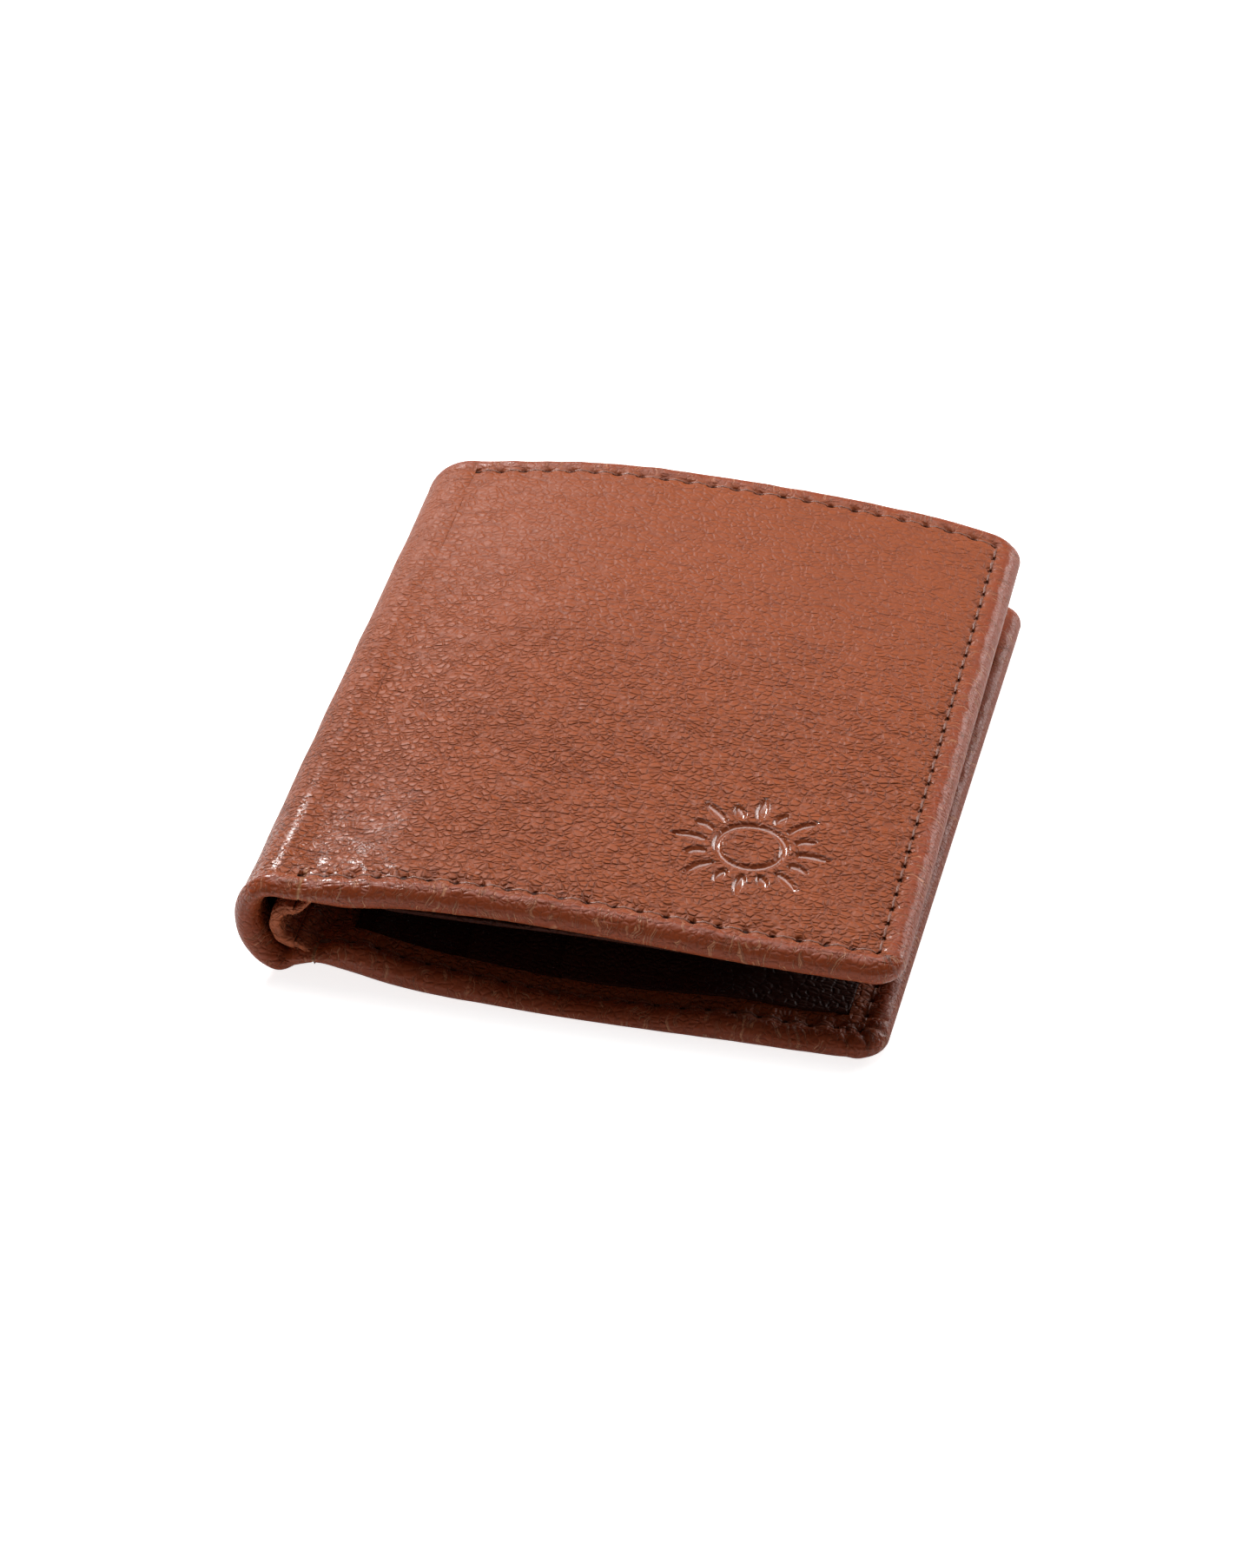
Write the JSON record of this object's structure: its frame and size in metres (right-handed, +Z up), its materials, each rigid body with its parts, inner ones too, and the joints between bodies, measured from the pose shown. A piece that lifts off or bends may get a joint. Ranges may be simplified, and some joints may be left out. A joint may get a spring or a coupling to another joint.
{
  "type": "trifold wallet",
  "caption": "Leather wallet with padded front and back leaves on one rounded spine, a window leaf between them, card slots and a note compartment.",
  "frame": {"origin": "centre of the closed wallet's footprint, on the surface it lies on", "axes": "+X from the spine to the free edges, +Y along the spine to the note compartment's mouth, +Z up through the closed leaves"},
  "size_m": [0.084, 0.1, 0.0177],
  "materials": {
    "leather": "semi-gloss pebbled grain, reddish brown",
    "lining": "woven dark brown lining",
    "thread": "twisted dark brown sewing thread",
    "board": "pressed fibre stiffener, matt",
    "foam": "thin soft foam",
    "film": "clear flexible film"
  },
  "bodies": {
    "back_leaf": {"back_outer_leather": "leather", "back_pocket_panel": "leather", "back_card_slot_1": "leather", "back_card_slot_2": "leather", "back_card_slot_3": "leather", "back_spine_turn": "leather", "back_lining_turn": "leather", "back_note_lining": "lining", "back_pocket_lining": "lining", "back_needle_thread": "thread", "back_bobbin_thread": "thread", "back_stiffener": "board"},
    "spine_lower": {"spine_leather_lower": "leather", "spine_lining_lower": "leather"},
    "spine_middle": {"spine_leather_middle": "leather", "spine_lining_middle": "leather"},
    "spine_upper": {"spine_leather_upper": "leather", "spine_lining_upper": "leather"},
    "front_leaf": {"front_spine_turn": "leather", "front_lining_turn": "leather", "front_outer_leather": "leather", "front_pocket_panel": "leather", "front_card_slot_1": "leather", "front_card_slot_2": "leather", "front_note_lining": "lining", "front_pocket_lining": "lining", "front_needle_thread": "thread", "front_bobbin_thread": "thread", "front_foam_pad": "foam"},
    "window_leaf": {"window_frame_upper": "leather", "window_frame_lower": "leather", "window_hinge_strip": "leather", "window_divider": "lining", "window_thread": "thread", "window_film_upper": "film", "window_film_lower": "film"}
  },
  "joints": [
    {"name": "spine_hinge_1", "type": "hinge", "parent": "back_leaf", "child": "spine_lower", "pos_m": [-0.03719, 0, 0.00079], "axis": [0, -1, 0], "range_deg": [0, 43]},
    {"name": "spine_hinge_2", "type": "hinge", "parent": "spine_lower", "child": "spine_middle", "pos_m": [-0.04141, 0, 0.00502], "axis": [0, -1, 0], "range_deg": [0, 43]},
    {"name": "spine_hinge_3", "type": "hinge", "parent": "spine_middle", "child": "spine_upper", "pos_m": [-0.04141, 0, 0.01098], "axis": [0, -1, 0], "range_deg": [0, 43]},
    {"name": "spine_hinge_4", "type": "hinge", "parent": "spine_upper", "child": "front_leaf", "pos_m": [-0.03719, 0, 0.01521], "axis": [0, -1, 0], "range_deg": [0, 43]},
    {"name": "window_leaf_hinge", "type": "hinge", "parent": "spine_middle", "child": "window_leaf", "pos_m": [-0.0364, 0, 0.008], "axis": [0, 1, 0], "range_deg": [0, 20]}
  ],
  "couplings": [
    {"joint": "spine_hinge_2", "follows": "spine_hinge_1", "ratio": 1},
    {"joint": "spine_hinge_3", "follows": "spine_hinge_1", "ratio": 1},
    {"joint": "spine_hinge_4", "follows": "spine_hinge_1", "ratio": 1},
    {"joint": "window_leaf_hinge", "follows": "spine_hinge_1", "ratio": 0.465}
  ]
}
